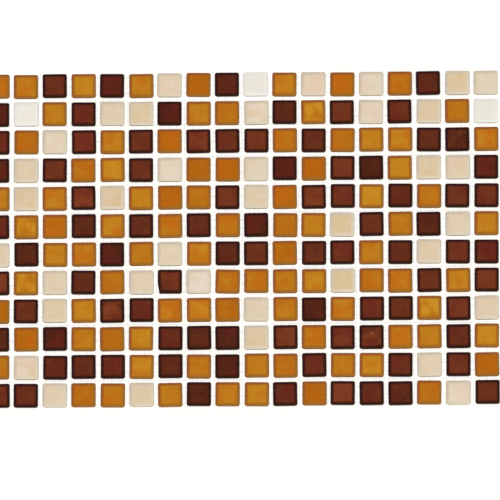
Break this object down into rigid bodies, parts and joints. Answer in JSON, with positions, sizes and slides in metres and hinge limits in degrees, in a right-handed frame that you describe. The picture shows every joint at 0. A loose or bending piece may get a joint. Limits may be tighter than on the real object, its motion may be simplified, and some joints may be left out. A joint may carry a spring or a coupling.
{
  "type": "glass mosaic tile sheet",
  "caption": "Flat rectangular sheet of small square glass tesserae in amber, brown, cream and ivory, held by their backs on an open fibreglass mesh with even joints between them.",
  "frame": {"origin": "middle of the sheet, on the plane that the mesh lies on", "axes": "+X along the rows of tesserae, +Y up the columns, +Z out of the glass faces"},
  "size_m": [0.3155, 0.2098, 0.0045],
  "materials": {
    "amber_glass": "opaque pressed amber glass, smooth satin face",
    "brown_glass": "opaque pressed red-brown glass, smooth satin face",
    "cream_glass": "opaque pressed cream glass, smooth satin face",
    "ivory_glass": "opaque pressed ivory glass, smooth satin face",
    "mesh_yarn": "white coated fibreglass yarn"
  },
  "bodies": {
    "root": {"amber_tesserae": "amber_glass", "brown_tesserae": "brown_glass", "cream_tesserae": "cream_glass", "ivory_tesserae": "ivory_glass", "mesh_warp_yarns": "mesh_yarn", "mesh_weft_yarns": "mesh_yarn"}
  },
  "joints": []
}
